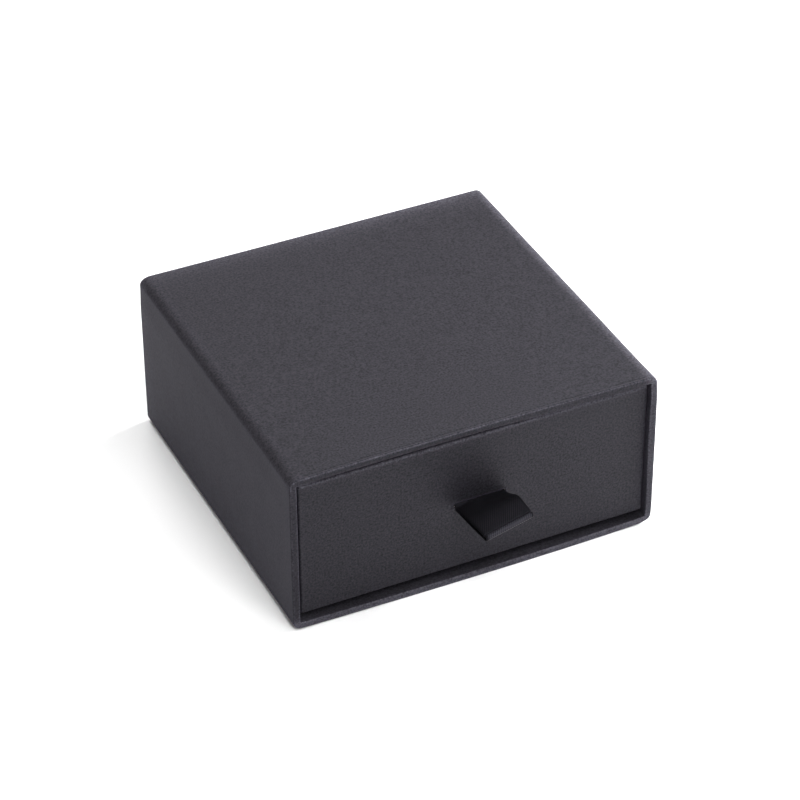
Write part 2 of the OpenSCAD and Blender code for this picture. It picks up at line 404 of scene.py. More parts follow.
def add_noise(tree, coords, scale, detail=2.0, roughness=0.5, stretch=None, turn=(0, 0, 0)):
    """Noise in object space, metres: scale is how many grains there are in a metre."""
    if stretch:
        mapping = add_node(tree, "Mapping", {"Vector": coords, "Rotation": turn, "Scale": stretch})
        coords = mapping.outputs["Vector"]
    node = add_node(tree, "TexNoise", {"Vector": coords, "Scale": scale, "Detail": detail,
                                       "Roughness": roughness})
    return node.outputs["Fac"]


def math_node(tree, operation, a, b=None, clamp=False):
    node = add_node(tree, "Math", {0: a} if b is None else {0: a, 1: b})
    node.operation = operation
    node.use_clamp = clamp
    return node.outputs[0]


def times(tree, a, b):
    return math_node(tree, "MULTIPLY", a, b)


def plus(tree, a, b):
    return math_node(tree, "ADD", a, b)


def read_share(tree, name):
    """The share that set_shares has kept on the mesh under this name."""
    node = add_node(tree, "Attribute")
    node.attribute_name = name
    return node.outputs["Fac"]


def spread(tree, value, lo, hi):
    """Maps 0.3 to 0.7, where noise mostly lies, on to lo to hi."""
    node = add_node(tree, "MapRange", {"Value": value, "From Min": 0.3, "From Max": 0.7,
                                       "To Min": lo, "To Max": hi})
    return node.outputs["Result"]


def shade(tree, colour, factor):
    """A colour times a value."""
    node = add_node(tree, "VectorMath")
    node.operation = "SCALE"
    set_inputs(tree, node, {0: colour, "Scale": factor})
    return node.outputs["Vector"]


def add_bump(tree, height, strength, distance, normal=None):
    values = {"Height": height, "Strength": strength, "Distance": distance}
    if normal:
        values["Normal"] = normal
    return add_node(tree, "Bump", values).outputs["Normal"]


def object_coords(tree):
    return add_node(tree, "TexCoord").outputs["Object"]


# How many grains the papers' noises have in a metre, and how many times its own tone a paper
# gains where its pale share, which is painted light, is 1
CLOUDS = 55.0
SWELLS = 120.0
FIBRES = 900.0
GRAINS = 2100.0
PAINTED_LIGHT_GAIN = 5.0


def paper_material(name, colour, roughness, gloss, worn_and_lit_gain, grain_gain, gloss_gain):
    """Uncoated coloured paper: cloudy tone, fine grain, short fibres, rubbed edges with painted
    highlights, and painted light where its pale share is set.
    """
    mat, tree, shader = new_material(name)
    where = object_coords(tree)
    cloud = add_noise(tree, where, CLOUDS, detail=3.0)
    grain = add_noise(tree, where, GRAINS, detail=2.0, roughness=0.6)
    fibre_a = add_noise(tree, where, FIBRES, stretch=(0.22, 1.6, 1.6), turn=(0.3, 0.2, 0.5))
    fibre_b = add_noise(tree, where, FIBRES, stretch=(1.6, 0.22, 1.6), turn=(0.9, 0.4, -0.3))
    fibre = times(tree, fibre_a, fibre_b)

    tone = times(tree, spread(tree, cloud, 0.96, 1.04),
                 spread(tree, grain, 1.0 - grain_gain, 1.0 + grain_gain))
    tone = times(tree, tone, spread(tree, times(tree, fibre, 2.0), 0.97, 1.03))
    # Rub and painted highlights: where the mesh's share is set, this noise brightens rubbed edges and
    # the beaded painted highlight lines along the rims
    scuff_and_highlight_beads = spread(tree, add_noise(tree, where, FIBRES, detail=2.0, roughness=0.6),
                    0.5 * worn_and_lit_gain, worn_and_lit_gain)
    rubbed_and_lit = times(tree, read_share(tree, "worn_and_painted_light"), scuff_and_highlight_beads)
    # Painted light: where the mesh's pale share is set, the paper is painted paler
    paler = times(tree, read_share(tree, "pale"), PAINTED_LIGHT_GAIN)
    tone = times(tree, tone, plus(tree, plus(tree, rubbed_and_lit, paler), 1.0))
    rough = spread(tree, grain, roughness - 0.05, roughness + 0.05)
    normal = add_bump(tree, grain, 0.35, 0.00006)
    normal = add_bump(tree, fibre, 0.3, 0.00008, normal=normal)
    normal = add_bump(tree, add_noise(tree, where, SWELLS, detail=1.0), 0.25, 0.0003, normal=normal)
    set_inputs(tree, shader, {
        "Base Color": shade(tree, colour, tone),
        "Roughness": plus(tree, rough, times(tree, rubbed_and_lit, 0.1)),
        "Normal": normal,
        "IOR": 1.45,
        "Specular IOR Level": spread(tree, grain, gloss * (1 - gloss_gain), gloss * (1 + gloss_gain)),
        "Specular Tint": (0.99, 0.95, 1.12, 1.0),
        "Sheen Weight": 0.052,
        "Sheen Roughness": 0.4,
        "Sheen Tint": (0.93, 0.83, 1.2, 1.0),
    })
    return mat


def greyboard_material():
    """Raw greyboard: mottled grey pulp with darker and paler flecks."""
    mat, tree, shader = new_material("greyboard")
    where = object_coords(tree)
    pulp = add_noise(tree, where, 420.0, detail=4.0, roughness=0.6)
    layers = add_noise(tree, where, 300.0, stretch=(1.0, 1.0, 6.0))
    flecks = add_noise(tree, where, 1500.0, detail=1.0)
    tone = times(tree, spread(tree, pulp, 0.85, 1.15), spread(tree, layers, 0.93, 1.07))
    tone = times(tree, tone, spread(tree, flecks, 0.9, 1.1))
    set_inputs(tree, shader, {"Base Color": shade(tree, (0.30, 0.28, 0.25), tone), "Roughness": 0.95,
                              "Normal": add_bump(tree, pulp, 0.5, 0.0001)})
    return mat


# The ribbon's weave: how many ribs and twill lines lie in a millimetre, and how the twill slants
RIBS_PER_MM = 4.0
TWILL_PER_MM = 2.08
TWILL_ACROSS = 0.885
TWILL_ALONG = 0.466


def ribbon_material():
    """Black satin ribbon: fine crosswise ribs and a twill, which show more, and are paler and
    glossier, where its share of painted light and rub is high.
    """
    mat, tree, shader = new_material("black_ribbon")
    lay = add_node(tree, "UVMap")
    lay.uv_map = "lay"
    split = add_node(tree, "SeparateXYZ", {"Vector": lay.outputs["UV"]})
    across, along = split.outputs["X"], split.outputs["Y"]

    def wave(value, per_mm):
        turned = times(tree, value, 2 * math.pi * per_mm)
        return times(tree, plus(tree, math_node(tree, "SINE", turned), 1.0), 0.5)

    slant = plus(tree, times(tree, across, TWILL_ACROSS), times(tree, along, TWILL_ALONG))
    ribs = wave(along, RIBS_PER_MM)
    twill = wave(slant, TWILL_PER_MM)
    # The mesh's share here is mostly painted light: low near the root, where the weave fades into
    # painted shade, high on the lit front and the fold
    worn_and_painted_light = read_share(tree, "worn_and_painted_light")
    contrast = math_node(tree, "MULTIPLY", worn_and_painted_light, 6.0, clamp=True)
    contrast = plus(tree, times(tree, contrast, 0.75), 0.25)
    weave = plus(tree, times(tree, ribs, 0.3), times(tree, twill, 0.7))
    weave = plus(tree, times(tree, plus(tree, weave, -0.5), contrast), 0.5)

    slubs = add_noise(tree, object_coords(tree), 500.0, detail=2.0)
    tone = times(tree, plus(tree, times(tree, weave, 1.2), 0.4), spread(tree, slubs, 0.9, 1.1))
    # Painted light: the ribbon is painted paler, and made glossier, where its share is high
    tone = times(tree, tone, plus(tree, worn_and_painted_light, 1.0))
    lit_and_rubbed_gloss = plus(tree, times(tree, worn_and_painted_light, 1.65), 0.25)
    threads = plus(tree, times(tree, weave, 0.15), 0.04)
    set_inputs(tree, shader, {
        "Base Color": shade(tree, (0.0044, 0.0042, 0.0053), tone),
        "Roughness": spread(tree, slubs, 0.56, 0.64),
        "Normal": add_bump(tree, weave, 0.5, 0.00006),
        "Specular IOR Level": plus(tree, times(tree, threads, lit_and_rubbed_gloss), 0.03),
        "Specular Tint": (0.98, 0.94, 1.15, 1.0),
    })
    return mat


# How far from the object, in metres, the floor starts to glow and glows fully
GLOW_FROM = 0.55
GLOW_FULL = 1.1


def floor_material():
    """Plain pale floor, which glows softly far from the object so that it stays white there."""
    mat, tree, shader = new_material("pale_floor")
    where = object_coords(tree)
    far = add_node(tree, "VectorMath")
    far.operation = "LENGTH"
    set_inputs(tree, far, {0: where})
    glow = add_node(tree, "MapRange", {"Value": far.outputs["Value"], "From Min": GLOW_FROM,
                                       "From Max": GLOW_FULL})
    tone = spread(tree, add_noise(tree, where, 3.0), 0.995, 1.0)
    set_inputs(tree, shader, {
        "Base Color": shade(tree, (0.9, 0.9, 0.9), tone),
        "Emission Color": (1.0, 1.0, 1.0, 1.0),
        "Emission Strength": glow.outputs["Result"],
        "Roughness": 0.9,
        "Specular IOR Level": 0.1,
    })
    return mat


COVERING_COLOUR = (0.0085, 0.0081, 0.0099)
LINING_COLOUR = (0.0130, 0.0124, 0.0150)
COVERING = paper_material("covering_paper", COVERING_COLOUR, roughness=0.72, gloss=0.27,
                          worn_and_lit_gain=5.5, grain_gain=0.52, gloss_gain=0.40)
DRAWER_PAPER = paper_material("drawer_paper", COVERING_COLOUR, roughness=0.55, gloss=0.215,
                              worn_and_lit_gain=5.5, grain_gain=0.52, gloss_gain=0.40)
LINING = paper_material("lining_paper", LINING_COLOUR, roughness=0.7, gloss=0.27,
                        worn_and_lit_gain=0.3, grain_gain=0.25, gloss_gain=0.2)
GREYBOARD = greyboard_material()
RIBBON = ribbon_material()


# ---- Sleeve ----

def side_share(x):
    """0 at the sleeve's left side and 1 at its right one."""
    return np.clip(x / SLEEVE_W + 0.5, 0.0, 1.0)


def thin_rim(co):
    """The walls are pressed thinner along the mouth, but the right one is thicker in its middle."""
    x, y, z = co.T
    at_mouth = fades(*PRESSED_BACK, y - MOUTH_Y)

    def at_inner_face(inset):
        return at_mouth * np.clip(inset / WALL, 0.0, 1.0) * fades(WALL + 0.1, WALL + 1.2, inset)

    on_sides = at_inner_face(SLEEVE_W / 2 - np.abs(x))
    on_top_and_floor = at_inner_face(SLEEVE_H / 2 - np.abs(z - SLEEVE_MID_Z))
    puffed = smoothstep(*PUFFED_FOOT_UP, z) * (0.2 + 0.8 * fades(*PUFFED_TOP_UP, z))
    puffed = RIGHT_WALL_IN * (x > 0) * puffed
    new_x = x + (RIM_THINNER * np.sign(x) - puffed) * on_sides
    new_z = z + RIM_THINNER * np.sign(z - SLEEVE_MID_Z) * on_top_and_floor
    return np.stack([new_x, y, new_z], 1)


def roll_left_edge(co):
    """The top is rolled over a little further along its left edge than along its right one."""
    x, y, z = co.T
    over_x = -x - (SLEEVE_W / 2 - SLEEVE_EDGE_R)
    over_z = z - (SLEEVE_H - SLEEVE_EDGE_R)
    share = np.where(over_x < 0, 1.0 + over_x / LEFT_ROLL_REACH, 1.0 - over_x / SLEEVE_EDGE_R)
    rolled = LEFT_EDGE_ROLLED * np.clip(share, 0.0, 1.0) * np.clip(over_z / SLEEVE_EDGE_R, 0.0, 1.0)
    near_edge = fades(*LEAN_DOWN, SLEEVE_H - z) * smoothstep(-8.0, -1.0, over_x)
    behind_mouth = smoothstep(*LEAN_BACK, y - MOUTH_Y)
    return np.stack([x + rolled + LEFT_EDGE_IN * near_edge * behind_mouth, y, z], 1)


def settle(co):
    """The sleeve's points as they stand: bowed out at the mouth, its low right corner crushed."""
    x, y, z = thin_rim(roll_left_edge(co)).T
    behind, from_top = y - MOUTH_Y, SLEEVE_H - z
    near = np.clip((FLAP_BACK_Y - y) / (FLAP_BACK_Y - MOUTH_Y), 0.0, 1.0) ** BOW_FADE
    share = side_share(x)

    # The top is crowned at the mouth and stands a little high at the back right
    high = fades(*CROWN_DOWN, from_top)
    crown = TOP_BOW * np.sin(np.pi * share ** CROWN_LEAN) ** CROWN_FLATNESS
    rise = BACK_RISE * smoothstep(*RISE_SHARE, share) * (1.0 - near)

    # The floor's ends are lifted at the mouth, and its edge stands forward between them
    off = x - FLOOR_LOW_X
    off = np.where(off < 0, off / (SLEEVE_W / 2 + FLOOR_LOW_X), off / (SLEEVE_W / 2 - FLOOR_LOW_X))
    lift = FLOOR_LIFT * np.clip(np.abs(off), 0, 1) ** 2 * fades(*LIFT_UP, z)
    forward = FLOOR_FORWARD * np.clip(1.0 - off ** 2, 0, 1)
    forward = forward * fades(*FORWARD_UP, z) * fades(*FORWARD_BACK, behind)

    # The sides stand out to the right, the low right corner is crushed and the inner lip sags
    wider = MOUTH_WIDER * share * (1.0 - 0.8 * fades(*WIDER_DOWN, from_top))
    dent_x, dent_z = x - SLEEVE_W / 2 + DENT_MIDDLE, z - DENT_MIDDLE
    dent = bell(np.sqrt(dent_x ** 2 + dent_z ** 2 + (behind / DENT_LONGER) ** 2), DENT_REACH)
    sag = smoothstep(*SAG_LEFT_SHARE, share) * fades(*SAG_RIGHT_SHARE, share)
    sag = sag * smoothstep(*SAG_TOP_DOWN, from_top) * fades(*SAG_FOOT_DOWN, from_top)
    sag = sag * fades(*SAG_BACK, behind)

    new_x = x + near * (MOUTH_RIGHT + wider) - DENT_IN * dent
    new_z = z + near * lift + (near * crown + rise) * high + DENT_UP * dent - LIP_SAG * sag
    return np.stack([new_x, y - forward, new_z], 1)


# The places of a ring's points: how many in each rounded corner, along the top and along a side
CORNER_N = 14
CORNER_CLEAR = 0.15
POINT_STEP = 1.6
SLEEVE_A = side_stations(SLEEVE_W / 2 - SLEEVE_EDGE_R - CORNER_CLEAR, POINT_STEP)
SLEEVE_B = side_stations(SLEEVE_H / 2 - SLEEVE_EDGE_R - CORNER_CLEAR, POINT_STEP)


def sleeve_ring(inset, y, corner_r=None):
    r = max(SLEEVE_EDGE_R - inset, INNER_CORNER_R) if corner_r is None else corner_r
    flat = outline(SLEEVE_W / 2 - inset, SLEEVE_H / 2 - inset, r, SLEEVE_A, SLEEVE_B, CORNER_N)
    return [(a, y, b + SLEEVE_MID_Z) for a, b in flat]


def sleeve_path():
    """The covering paper's section, as (distance in from the outside, y), closed.

    Its points lie closer together where the paper is folded over an edge or grooved.
    """
    deep = steps(FLAP_BACK_Y - BACK_EDGE_R, MOUTH_Y + RIM_OUTER_R, 44)
    path = [(BACK_FLAP, FLAP_BACK_Y)]
    path += [(v, FLAP_BACK_Y) for v in (6.0, 3.6, 2.4, 1.4, 0.9, BACK_EDGE_R)]
    path += arc_points(BACK_EDGE_R, FLAP_BACK_Y - BACK_EDGE_R, BACK_EDGE_R, 90, 180, 6)
    path += [(0.0, y) for y in [deep[0] - 0.4] + deep[1:-1]]
    path += [(0.0, deep[-1] + v) for v in (1.2, 0.95, 0.8, 0.65, 0.5, 0.35, 0.2, 0.0)]
    path += arc_points(RIM_OUTER_R, MOUTH_Y + RIM_OUTER_R, RIM_OUTER_R, 180, 270, 7)
    path += [(v, MOUTH_Y) for v in steps(RIM_OUTER_R, WALL - RIM_INNER_R, 6)[1:]]
    path += arc_points(WALL - RIM_INNER_R, MOUTH_Y + RIM_INNER_R, RIM_INNER_R, 270, 360, 7)
    path += [(WALL, MOUTH_Y + RIM_INNER_R + v) for v in (0.12, 0.3, 0.6)]
    path += [(WALL, y) for y in steps(MOUTH_Y + RIM_INNER_R + 1.0, TURN_IN_END_Y, 12)]
    visible = len(path)
    path += [(WALL - PAPER, y) for y in steps(TURN_IN_END_Y, SHELL_FRONT_Y, 8)]
    path.append((PAPER, SHELL_FRONT_Y))
    path += [(PAPER, y) for y in steps(SHELL_FRONT_Y, SHELL_BACK_Y, 24)[1:]]
    path.append((BACK_FLAP, SHELL_BACK_Y))
    return path, visible


def corner_lap(over_a, over_b, mitre_end):
    """Which of a rim's points are in the flap that lies over its neighbour, up to the mitre.

    It also gives each point's angle round its corner, in degrees.
    """
    angle = np.degrees(np.arctan2(np.maximum(over_b, 0), np.maximum(over_a, 0) + 1e-9))
    from_corner = np.maximum(-over_a, 0) + np.maximum(-over_b, 0)
    lap = smoothstep(43, mitre_end, angle) * (over_a > -6) * fades(2.0, 6.0, from_corner)
    return lap, angle


def fold_sleeve(rings, inset, over_x, over_z, shown):
    """Laps the flaps at the rim's and the back's corners, and shapes the sheet's edges."""
    x, y, z = np.moveaxis(rings, -1, 0)
    lap, angle = corner_lap(over_x, over_z, 49)
    on_rim = shown * smoothstep(0.05, RIM_OUTER_R, inset) * (y < MOUTH_Y + 1.0)
    on_back = shown * smoothstep(0.05, BACK_EDGE_R, inset) * (y > FLAP_BACK_Y - 1.0)
    pleat = np.sin(np.radians(angle) * 10.0) * smoothstep(0.0, 6.0, angle) * fades(84, 90, angle)
    y -= on_rim * (RIM_LAP * lap + RIM_PLEAT * pleat)
    y += on_back * BACK_LAP * lap

    # The floor's front edge is folded more sharply, and a groove runs along the top behind the rim
    arc = shown * (inset < RIM_OUTER_R) * (y < MOUTH_Y + RIM_OUTER_R)
    softness = 1.0 - FOOT_SHARPER * arc * fades(*SHARPER_UP, z)
    flat = fades(-1.0, 0.2, over_x)
    y[:] = MOUTH_Y + (y - MOUTH_Y) * softness
    z *= 1.0 - (1.0 - softness) * flat
    groove = bell(y - MOUTH_Y - GROOVE_BACK, GROOVE_REACH) * (inset < 0.01) * flat
    z -= RIM_GROOVE * groove * (z > SLEEVE_MID_Z)

    # The low right edge is squarer than a quarter circle
    bulge = np.sin(np.radians(2 * angle)) ** 2 * (over_x > 0) * (over_z > 0)
    squarer = RIGHT_EDGE_SQUARER * bulge * (x > 0) * (z < SLEEVE_MID_Z)
    x += np.maximum(over_x, 0) * squarer
    z -= np.maximum(over_z, 0) * squarer


def sleeve_worn_and_highlit(rings, inset, over_x, over_z, shown):
    """How rubbed the paper is, with painted highlights: most round the rim, whose edge lines are
    painted highlights as well as rub, less at the other edges and the corners.
    """
    x, y, z = np.moveaxis(rings, -1, 0)
    behind = y - MOUTH_Y
    before_back = FLAP_BACK_Y - y
    # The rim's outer and inner edge lines are painted highlights as well as rub
    outer = bell(np.minimum(behind, 3) - 0.07, 0.18) * bell(inset - 0.2, 0.25)
    outer = outer * (0.45 + 0.55 * smoothstep(-1.0, 0.0, over_z) * (z > SLEEVE_MID_Z))
    inner = bell(np.minimum(behind, 3), 0.16) * bell(inset - WALL, 0.24)
    inner = inner * (0.5 + 0.5 * (x < 2.0 - SLEEVE_W / 2 + WALL))
    at_back = bell(np.minimum(before_back, 3), 0.6) * bell(inset, 0.6)
    at_edge = bell(np.maximum(-np.minimum(over_x, over_z), 0), 0.7) * (inset < 0.01)
    from_corner = np.hypot(np.minimum(over_x, 0), np.minimum(over_z, 0)) + np.minimum(behind, 50)
    at_corner = bell(from_corner, 2.5)
    return shown * np.clip(outer + inner + 0.5 * at_back + 0.12 * at_edge + 0.15 * at_corner, 0, 1)


def sleeve_painted_light(rings, inset, over_x, over_z, shown):
    """Painted light as a share: the rim painted paler low down and at its right, and painted
    highlights on the right top edge and at the back.
    """
    x, y, z = np.moveaxis(rings, -1, 0)
    on_lip = shown * (inset < WALL - 0.02) * fades(0.1, 0.5, y - MOUTH_Y)
    # Painted light on the rim: paler low down and at its right side
    low_rim = fades(1.5, 3.0, z)
    right_rim = smoothstep(SLEEVE_W / 2 - 3.0, SLEEVE_W / 2 - 1.5, x)
    right_rim = right_rim * fades(SLEEVE_H - 2.5, SLEEVE_H - 1.0, z)
    rim = on_lip * np.maximum(0.68 * low_rim, 0.34 * right_rim)

    # Painted highlights along the right top edge and along the back, strongest to the right
    high = smoothstep(-1.4, 0.4, over_z) * (z > SLEEVE_MID_Z)
    right_top = smoothstep(-1.4, 0.4, over_x) * (x > 0) * high
    at_back = np.exp(-np.maximum(FLAP_BACK_Y - y, 0.0) / 2.1)
    edges = np.maximum(0.62 * right_top, (0.55 + 0.55 * side_share(x) * high) * at_back)
    return np.maximum(rim, shown * (inset < WALL) * edges)


def build_sleeve_wrap():
    """One sheet of covering paper: flaps on the back, four walls, over the rim and turned in."""
    path, visible = sleeve_path()
    rings, inset, shown = sheet_rings(path, visible, sleeve_ring)
    x, _, z = np.moveaxis(rings, -1, 0)
    over_x = np.abs(x) - (SLEEVE_W / 2 - SLEEVE_EDGE_R)
    over_z = np.abs(z - SLEEVE_MID_Z) - (SLEEVE_H / 2 - SLEEVE_EDGE_R)
    fold_sleeve(rings, inset, over_x, over_z, shown)
    # Rub and painted highlights along the rim's edges, kept as a share for the material
    worn_and_painted_light = sleeve_worn_and_highlit(rings, inset, over_x, over_z, shown)
    # Painted light, kept as the pale share: a paler rim and painted highlights on the edges
    pale = sleeve_painted_light(rings, inset, over_x, over_z, shown)

    obj = new_piece("sleeve_cover", settle(rings.reshape(-1, 3)), loft_faces(*inset.shape), COVERING)
    set_shares(obj, "worn_and_painted_light", worn_and_painted_light)
    set_shares(obj, "pale", pale)
    ripple(obj, 0.05, 22.0, 3, mask=lambda p: (p[:, 2] > 1.0) * 1.0)
    ripple(obj, 0.02, 2.2, 5, mask=lambda p: bell(p[:, 1] - MOUTH_Y, 1.2))
    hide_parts("sleeve_wrap_paper")
    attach(obj, "sleeve")


# The walls' points: across one, round half a corner, and rings from the mouth to the back
WALL_N = 34
HALF_CORNER_N = 7
WALL_RINGS = 26


def wall_section(half_a, half_b, r, t, n):
    """One wall of a mitred frame, as matching points on its outer and inner faces."""
    in_a, in_b = half_a - t, half_b - t

    def half_corner(centre_a, from_deg, to_deg):
        angles = [math.radians(deg) for deg in steps(from_deg, to_deg, HALF_CORNER_N)]
        return [(centre_a + r * math.cos(a), half_b - r + r * math.sin(a)) for a in angles]

    outer = half_corner(r - half_a, 135, 90)
    outer += [(v, half_b) for v in steps(r - half_a, half_a - r, n)[1:-1]]
    outer += half_corner(half_a - r, 90, 45)
    inner = [(max(-in_a, min(in_a, a)), in_b) for a, _ in outer]
    inner[0], inner[-1] = (-in_a, in_b), (in_a, in_b)
    return outer, inner


def build_sleeve_board(name, node, turn):
    """One greyboard wall of the sleeve, mitred at both long edges, bowed as the paper is."""
    half_a, half_b = SLEEVE_W / 2 - PAPER, SLEEVE_H / 2 - PAPER
    if turn % 180:
        half_a, half_b = half_b, half_a
    outer, inner = wall_section(half_a, half_b, SLEEVE_EDGE_R - PAPER, BOARD, WALL_N)
    c, s = math.cos(math.radians(turn)), math.sin(math.radians(turn))
    loop = outer + inner[::-1]
    ys = steps(SHELL_FRONT_Y, SHELL_BACK_Y, WALL_RINGS)
    verts = [(a * c - b * s, y, a * s + b * c + SLEEVE_MID_Z) for y in ys for a, b in loop]
    faces = strip_faces(len(ys), len(loop))
    obj = new_piece(name, settle(np.array(verts)), faces, GREYBOARD, smooth_below=30)
    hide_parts(node)
    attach(obj, "sleeve")


def build_wall_lining():
    """The paper that lines the four walls behind the turned-in paper."""
    ys = steps(TURN_IN_END_Y, CAVITY_END_Y, WALL_RINGS)
    path = [(WALL, y) for y in ys] + [(WALL - PAPER, y) for y in reversed(ys)]
    rings = np.array([sleeve_ring(inset, y, corner_r=LINING_CORNER_R) for inset, y in path])
    count, around = rings.shape[:2]
    obj = new_piece("wall_lining", settle(rings.reshape(-1, 3)), loft_faces(count, around), LINING,
                    smooth_below=40)
    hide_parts("sleeve_wall_lining")
    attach(obj, "sleeve")


# ---- Sheets that are pressed over what lies under them ----

def build_sheet(name, us, vs, face, under, place, material):
    """A thin closed sheet: face and under give its two skins' heights at (u, v)."""
    nu, nv = len(us), len(vs)
    verts = [place(u, v, face(u, v)) for v in vs for u in us]
    verts += [place(u, v, under(u, v)) for v in vs for u in us]
    faces = []
    low = nu * nv
    for j in range(nv - 1):
        for i in range(nu - 1):
            a, b = j * nu + i, (j + 1) * nu + i
            faces.append((a, a + 1, b + 1, b))
            faces.append((low + a, low + b, low + b + 1, low + a + 1))
    rim = list(range(nu)) + [j * nu + nu - 1 for j in range(1, nv)]
    rim += [(nv - 1) * nu + i for i in range(nu - 2, -1, -1)] + [j * nu for j in range(nv - 2, 0, -1)]
    for a, b in zip(rim, rim[1:] + rim[:1]):
        faces.append((a, low + a, low + b, b))
    return new_piece(name, verts, faces, material, smooth_below=50)


def edge_curl(u, v, half_u, half_v, drop):
    """How far a sheet's face falls near its cut edges."""
    near = min(half_u - abs(u), half_v - abs(v))
    return drop * (1 - min(near / CURL_REACH, 1.0)) ** 2


def panel_over_flaps(name, node, lo, hi, flap_half_u, flap_half_v, place, centre_v):
    """A panel glued over four flaps and pressed down to the board between them."""
    half_u, half_v = (hi[0] - lo[0]) / 2, (hi[1] - lo[1]) / 2

    def dip(u, v):
        inside = min(flap_half_u - abs(u), flap_half_v - abs(v))
        return PANEL_DIP * float(smoothstep(-0.5, 0.9, inside))

    def grid(half, flap):
        """Places from -half to half, closer together at the flaps' ends and the panel's edges."""
        found = set(np.round(np.linspace(-half, half, 50), 4))
        for sign in (-1, 1):
            found.update(np.round(sign * np.linspace(flap - 1.2, flap + 0.7, 9), 4))
            found.update(np.round(sign * np.linspace(half - 0.5, half, 5), 4))
        return sorted(found)

    obj = build_sheet(
        name, grid(half_u, flap_half_u), grid(half_v, flap_half_v),
        lambda u, v: -dip(u, v) - edge_curl(u, v, half_u, half_v, PANEL_CURL),
        lambda u, v: -PAPER - dip(u, v),
        lambda u, v, h: place(u, v + centre_v, h), COVERING)
    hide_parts(node)
    return obj


def build_back_panel():
    lo, hi = BACK_PANEL_LO[[0, 2]], BACK_PANEL_HI[[0, 2]]
    obj = panel_over_flaps(
        "back_panel", "sleeve_back_paper", lo, hi, SLEEVE_W / 2 - BACK_FLAP, SLEEVE_H / 2 - BACK_FLAP,
        lambda u, v, h: (u, BACK_PANEL_HI[1] + h, v), (lo[1] + hi[1]) / 2)
    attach(obj, "sleeve")


def build_base_panel():
    lo, hi = BASE_PANEL_LO[[0, 1]], BASE_PANEL_HI[[0, 1]]
    obj = panel_over_flaps(
        "base_panel", "drawer_base_paper", lo, hi, DRAWER_W / 2 - BASE_FLAP, DRAWER_D / 2 - BASE_FLAP,
        lambda u, v, h: (u + DRAWER_X, v, BASE_PANEL_LO[2] - h), (lo[1] + hi[1]) / 2)
    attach(obj, "drawer")


# ---- Drawer ----

# The places of a ring's points: how many in each rounded corner, along the front and along a side
DRAWER_CORNER_N = 8
DRAWER_CORNER_CLEAR = 2.3
DRAWER_POINT_STEP = 1.7
DRAWER_A = side_stations(DRAWER_W / 2 - DRAWER_CORNER_CLEAR, DRAWER_POINT_STEP, extra=SLIT_ENDS)
DRAWER_B = side_stations(DRAWER_D / 2 - DRAWER_CORNER_CLEAR, DRAWER_POINT_STEP)


def drawer_ring(inset, z):
    r = DRAWER_CORNER_R + (INNER_CORNER_R - DRAWER_CORNER_R) * min(inset / WALL, 1.0)
    flat = outline(DRAWER_W / 2 - inset, DRAWER_D / 2 - inset, r, DRAWER_A, DRAWER_B, DRAWER_CORNER_N)
    return [(a + DRAWER_X, b + DRAWER_MID_Y, z) for a, b in flat]


def settle_drawer(co, on_outer):
    """The drawer's paper as it stands: its outer skin wider to the right and sagging at its foot."""
    x, y, z = co.T
    near = np.clip((DRAWER_HI[1] - y) / DRAWER_D, 0.0, 1.0) ** BOW_FADE
    share = np.clip((x - DRAWER_X) / DRAWER_W + 0.5, 0.0, 1.0)
    beside_slit = np.clip((np.abs(x - RIBBON_X) - SLIT_HALF_W) / 8.0, 0.0, 1.0)
    pushed = near * (DRAWER_RIGHT + DRAWER_WIDER * share) * beside_slit
    sag = DRAWER_FOOT_SAG * bell(y - DRAWER_FRONT_Y, 1.5) * fades(3.6, 6.0, z)
    return np.stack([x + pushed * on_outer, y, z - sag * on_outer], 1)


def heights(lo, hi, n):
    """Heights of a drawer wall's rings, with rings at the slit's two edges."""
    low, high = SLIT_Z - SLIT_HALF_H, SLIT_Z + SLIT_HALF_H
    found = [v for v in steps(lo, hi, n) if abs(v - low) > 0.5 and abs(v - high) > 0.5]
    return sorted(found + [low, high])


def drawer_path():
    """The drawer's covering paper as (distance in from the outside, z), closed."""
    foot = DRAWER_FLAP_Z + DRAWER_FOOT_R
    top = DRAWER_TOP_Z - RIM_OUTER_R
    path = [(BASE_FLAP, DRAWER_FLAP_Z)]
    path += [(v, DRAWER_FLAP_Z) for v in (6.0, 3.4, 2.2, 1.3, DRAWER_FOOT_R)]
    path += arc_points(DRAWER_FOOT_R, foot, DRAWER_FOOT_R, 270, 180, 7)
    path += [(0.0, foot + 0.35)]
    path += [(0.0, z) for z in heights(foot + 1.2, top - 0.35, 26)]
    path += [(0.0, top)]
    path += arc_points(RIM_OUTER_R, top, RIM_OUTER_R, 180, 90, 6)
    path += [(v, DRAWER_TOP_Z) for v in steps(RIM_OUTER_R, WALL - RIM_INNER_R, 5)[1:]]
    path += arc_points(WALL - RIM_INNER_R, DRAWER_TOP_Z - RIM_INNER_R, RIM_INNER_R, 90, 0, 6)
    path += [(WALL, z) for z in reversed(heights(BASE_TOP_Z, DRAWER_TOP_Z - RIM_INNER_R - 0.35, 24))]
    visible = len(path)
    path += [(WALL - PAPER, z) for z in heights(BASE_TOP_Z, TRAY_TOP_Z, 12)]
    path += [(PAPER, z) for z in reversed(heights(TRAY_Z, TRAY_TOP_Z, 12))]
    path.append((BASE_FLAP, TRAY_Z))
    return path, visible


